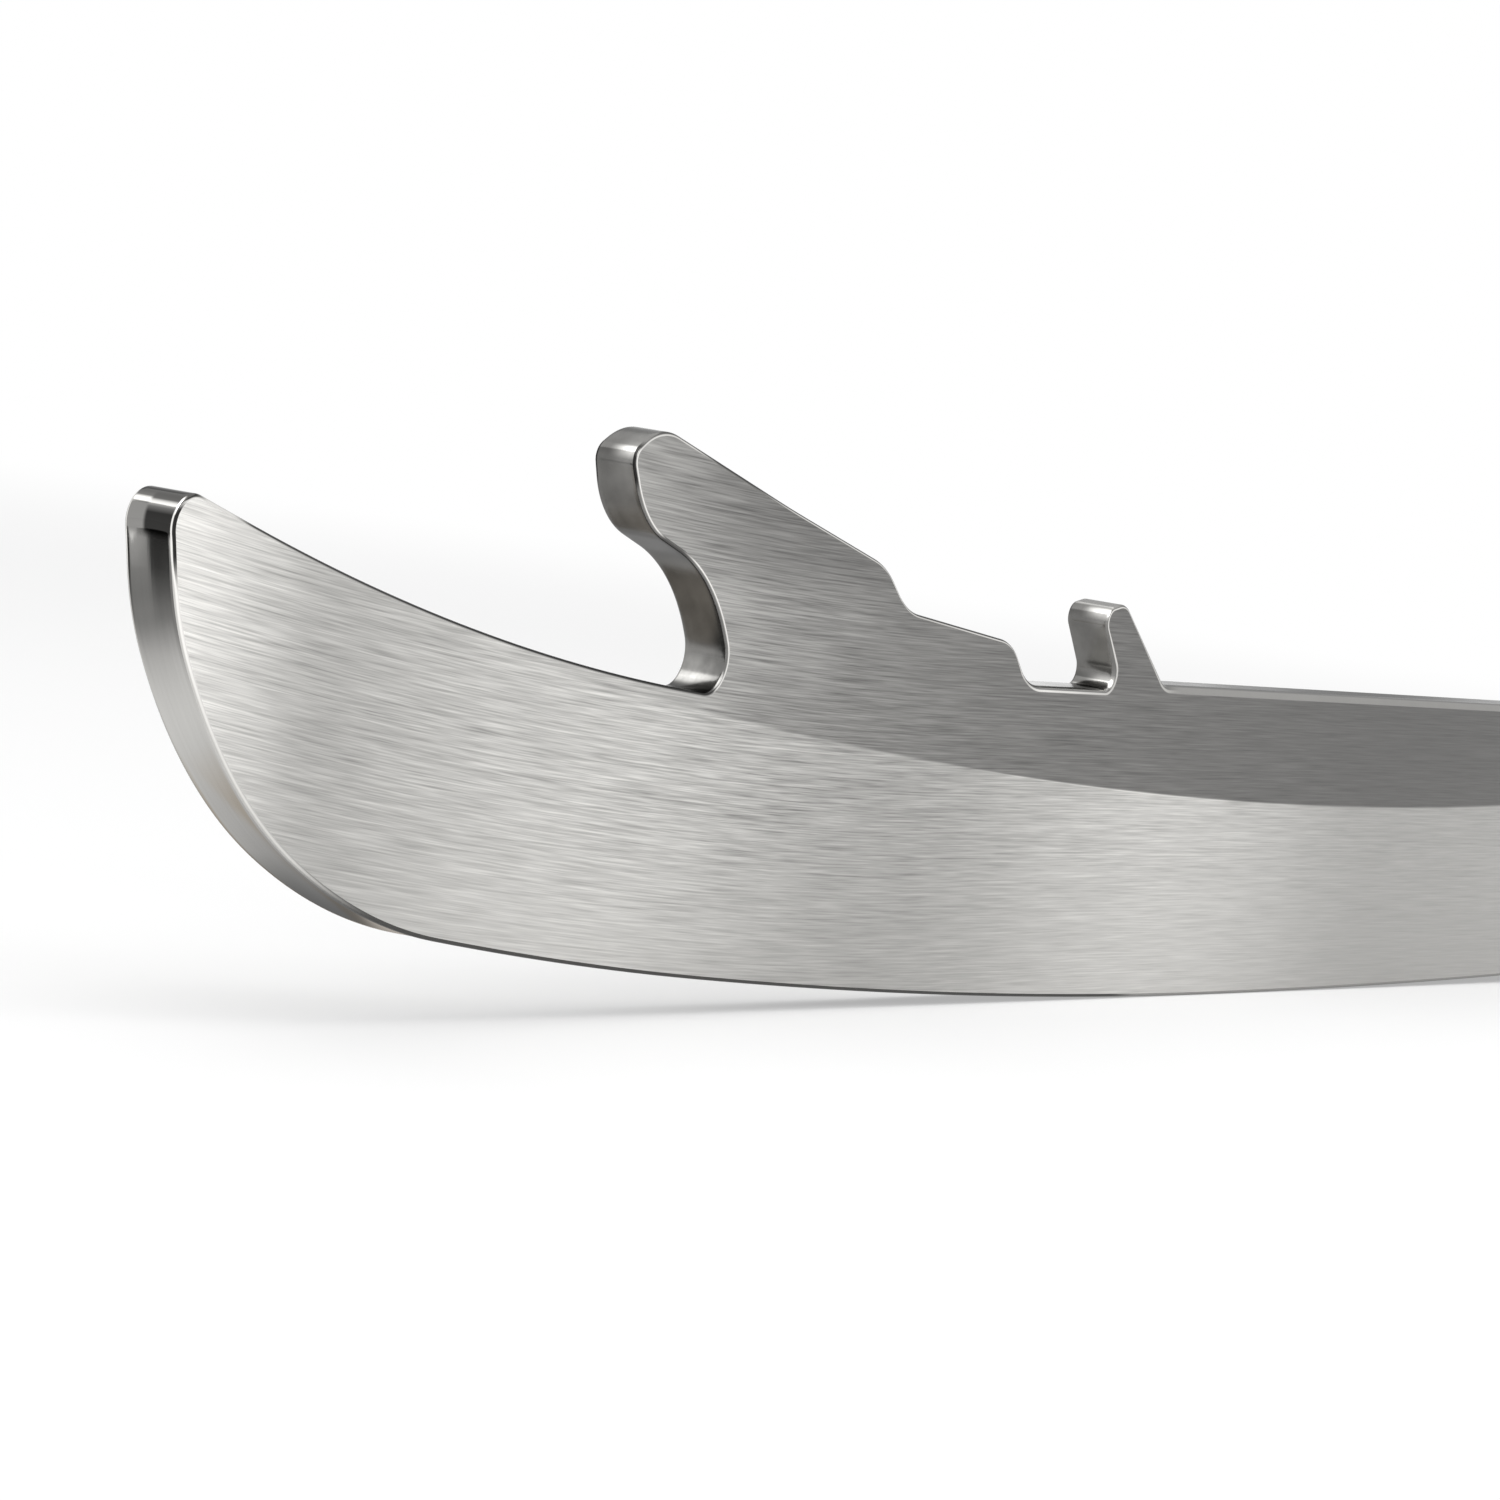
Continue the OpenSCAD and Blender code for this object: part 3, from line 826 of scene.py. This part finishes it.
# %% Run the tree and keep its result as a plain mesh
modifier = runner.modifiers.new("blade", "NODES")
modifier.node_group = blade
sizes = {
    "Border Points": count, "Rim Steps": 5, "Hollow Steps": 12,
    "Wheel Radius": WHEEL_RADIUS * MM, "Steel": steel}
for item in blade.interface.items_tree:
    if item.item_type == "SOCKET" and item.name in sizes:
        modifier[item.identifier] = sizes[item.name]
evaluated = runner.evaluated_get(bpy.context.evaluated_depsgraph_get())
mesh = bpy.data.meshes.new_from_object(evaluated)
mesh.name = "runner_steel"
runner.modifiers.remove(modifier)
runner.data = mesh
for name in ("inward", "half", "rim"):
    if name in mesh.attributes:
        mesh.attributes.remove(mesh.attributes[name])
print("values kept on the blade:", [a.name for a in mesh.attributes if not a.name.startswith(".")])

# %% Check that the blade is closed and faces outwards
check = bmesh.new()
check.from_mesh(mesh)
open_edges = sum(1 for edge in check.edges if len(edge.link_faces) != 2)
volume = check.calc_volume(signed=True)
check.free()
triangles = sum(len(face.vertices) - 2 for face in mesh.polygons)
print("blade:", triangles, "triangles,", open_edges, "open edges, volume", round(volume / MM ** 3), "mm3")
assert open_edges == 0 and volume > 0

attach(runner, "root")
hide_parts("runner")

# %% [markdown]
# ## Floor
#
# The runner stands in a white studio. The floor is plain pale paper that keeps a soft shadow near the
# runner and fades to pure white further out, so no horizon shows. The white comes from the paper's own
# glow and never from more light, which would wash out the steel.

# %% Floor
def new_tree(name):
    material = bpy.data.materials.new(name)
    material.use_nodes = True
    material.node_tree.nodes.clear()
    return material, material.node_tree


def sheet(name, corners, material):
    """A flat sheet through corner points given in millimetres from the toe tip."""
    data = bpy.data.meshes.new(name)
    data.from_pydata([mm(*corner) for corner in corners], [], [list(range(len(corners)))])
    data.materials.append(material)
    made = bpy.data.objects.new(name, data)
    bpy.context.scene.collection.objects.link(made)
    return made


FLOOR_REACH = 3000
FADE_FROM, FADE_TO = 0.15, 0.6       # metres from the middle of the runner
PAPER_GREY, PAPER_GLOW = 0.5, 0.4
paper, paper_tree = new_tree("white_paper")
spot = add_node(paper_tree, "ShaderNodeTexCoord").outputs["Object"]
away = add_node(paper_tree, "ShaderNodeVectorMath", {0: spot}, operation="LENGTH").outputs["Value"]
matt = add_node(paper_tree, "ShaderNodeBsdfDiffuse", {"Color": (PAPER_GREY,) * 3 + (1.0,)}).outputs[0]
glow = add_node(paper_tree, "ShaderNodeEmission", {"Strength": PAPER_GLOW}).outputs[0]
near_paper = add_node(paper_tree, "ShaderNodeAddShader", {0: matt, 1: glow}).outputs[0]
far_paper = add_node(paper_tree, "ShaderNodeEmission", {"Strength": 1.0}).outputs[0]
fading = {0: ramp(away, FADE_FROM, FADE_TO), 1: near_paper, 2: far_paper}
faded_paper = add_node(paper_tree, "ShaderNodeMixShader", fading).outputs[0]
add_node(paper_tree, "ShaderNodeOutputMaterial", {"Surface": faded_paper})
ways_round = [(-1, -1), (1, -1), (1, 1), (-1, 1)]
floor = sheet("floor", [(x * FLOOR_REACH, y * FLOOR_REACH, 0) for x, y in ways_round], paper)
print("floor:", [round(v, 2) for v in floor.dimensions])

# %% [markdown]
# ## World and lamps
#
# The world is white for the camera and for reflections, and much softer for everything it lights. Two
# area lamps do the rest: a large one overhead gives the soft shadow, and a key lamp in front of the near
# side lights the brushed face. They are weak, so that a colour renders about as it is written.

# %% World
SOFT_SKY = 0.24
world = bpy.data.worlds.new("white_studio")
world.use_nodes = True
world_tree = world.node_tree
world_tree.nodes.clear()
ray = add_node(world_tree, "ShaderNodeLightPath").outputs
seen = larger(ray["Is Camera Ray"], larger(ray["Is Glossy Ray"], ray["Is Transmission Ray"]))
strength = times_plus(seen, 1.0 - SOFT_SKY, SOFT_SKY)
sky_inputs = {"Color": (1.0, 1.0, 1.0, 1.0), "Strength": strength}
sky = add_node(world_tree, "ShaderNodeBackground", sky_inputs).outputs[0]
add_node(world_tree, "ShaderNodeOutputWorld", {"Surface": sky})
bpy.context.scene.world = world
print("world:", world.name)

# %% Lamps
AIMED_AT = mm(80, 0, 0)


def lamp(name, place, size, watts):
    data = bpy.data.lights.new(name, "AREA")
    data.shape = "RECTANGLE"
    data.size, data.size_y = size
    data.energy = watts
    made = bpy.data.objects.new(name, data)
    bpy.context.scene.collection.objects.link(made)
    facing = (AIMED_AT - place).to_track_quat("-Z", "Y").to_matrix()
    made.matrix_world = Matrix.Translation(place) @ facing.to_4x4()
    print("lamp:", name, watts, "W")


lamp("overhead", mm(110, 110, 600), size=(1.0, 0.9), watts=4.0)
lamp("key", mm(-130, -310, 520), size=(0.7, 0.6), watts=2.6)
bpy.context.scene.view_settings.view_transform = "Standard"

# %% [markdown]
# ## Cards that only the polished steel reflects
#
# A photographer puts grey cards round shiny metal, because metal shows what stands about it. Here two
# cards are seen by reflections alone and cast no shadow. One lies on the floor in front of the toe and
# gives the running edge its dark and light lengths, the hollow's bright streak and a warm tinge low on
# the toe. The other stands behind the heel, because the bar's top is seen almost along itself and
# mirrors what is there. They hang on no body, so they are no part of the runner.


# %% Helpers for cards
def card(name, corners):
    """A sheet that only reflections see. Returns its tree and the place on it, in mm from the toe tip."""
    material, tree = new_tree(name)
    made = sheet(name, corners, material)
    made.visible_camera = made.visible_diffuse = made.visible_transmission = made.visible_shadow = False
    spot = add_node(tree, "ShaderNodeTexCoord").outputs["Object"]
    inputs = {0: spot, 1: (1 / MM,) * 3, 2: (MID, 0.0, 0.0)}
    in_mm = add_node(tree, "ShaderNodeVectorMath", inputs, operation="MULTIPLY_ADD").outputs[0]
    print("card:", name, len(corners), "corners")
    return tree, add_node(tree, "ShaderNodeSeparateXYZ", {0: in_mm}).outputs


def straight(value, low, high, to_low=0.0, to_high=1.0):
    return ramp(value, low, high, to_low, to_high, "LINEAR")


def shine(tree, colour):
    glow = add_node(tree, "ShaderNodeEmission", {"Color": colour}).outputs[0]
    add_node(tree, "ShaderNodeOutputMaterial", {"Surface": glow})


def graded(tree, value, low, high, stops):
    """Grey steps, eased, along a value that runs from low to high."""
    node = add_node(tree, "ShaderNodeValToRGB", {0: straight(value, low, high)})
    node.color_ramp.interpolation = "EASE"
    steps = node.color_ramp.elements
    while len(steps) < len(stops):
        steps.new(0.5)
    for step, (at, level) in zip(steps, stops):
        step.position = (at - low) / (high - low)
        step.color = (level, level, level, 1.0)
    return node.outputs["Color"]


print("helpers for cards are ready")

# %% The card in front of the toe
TOE_CARD = [(-34.6, 4), (64, 4), (64, 24), (40, 17), (17, 17), (-34.6, 48)]
CARD_HEIGHT = 0.5
TOE_CARD_GREYS = [
    (-32, 0.44), (-30.9, 0.38), (-29.4, 0.33), (-28, 0.3), (-19, 0.27), (-12, 0.31),
    (5, 1.0), (15, 0.8), (26, 0.6), (35, 0.35), (41, 0.62)]
WHITE, WARM = (1.0, 1.0, 1.0, 1.0), (0.9, 0.83, 0.74, 1.0)
tree, at = card("toe_card", [(x, y, CARD_HEIGHT) for x, y in TOE_CARD])
greys = graded(tree, at["X"], -90.0, 64.0, TOE_CARD_GREYS)

# Beyond a slanting line the card is dimmer, most of all far in front
past_line = minus(at["Y"], times_plus(at["X"], -0.55, 11.2))
keep = blend(straight(past_line, -0.3, 0.7), 1.0, straight(at["X"], -30.0, -8.0, 0.07, 0.95))
level = add_node(tree, "ShaderNodeVectorMath", {0: greys, "Scale": keep}, operation="SCALE").outputs[0]
is_warm = times(straight(at["X"], 8.0, 15.0), straight(at["Y"], 8.3, 8.8))
tint = add_node(tree, "ShaderNodeMix", {0: is_warm, 6: WHITE, 7: WARM}, data_type="RGBA").outputs[2]
tinted = add_node(tree, "ShaderNodeVectorMath", {0: level, 1: tint}, operation="MULTIPLY").outputs[0]
shine(tree, tinted)

# %% The card behind the heel
BAR_CARD = [(400, 30, 2), (400, 270, 2), (400, 270, 100), (400, 30, 100)]
BAR_CARD_GREYS = [
    (95, 1.2), (108, 0.86), (113, 0.55), (120, 0.39), (127, 0.42), (138, 0.72), (146, 1.1), (165, 1.5)]
tree, at = card("bar_card", BAR_CARD)
shine(tree, graded(tree, at["Y"], 60.0, 200.0, BAR_CARD_GREYS))
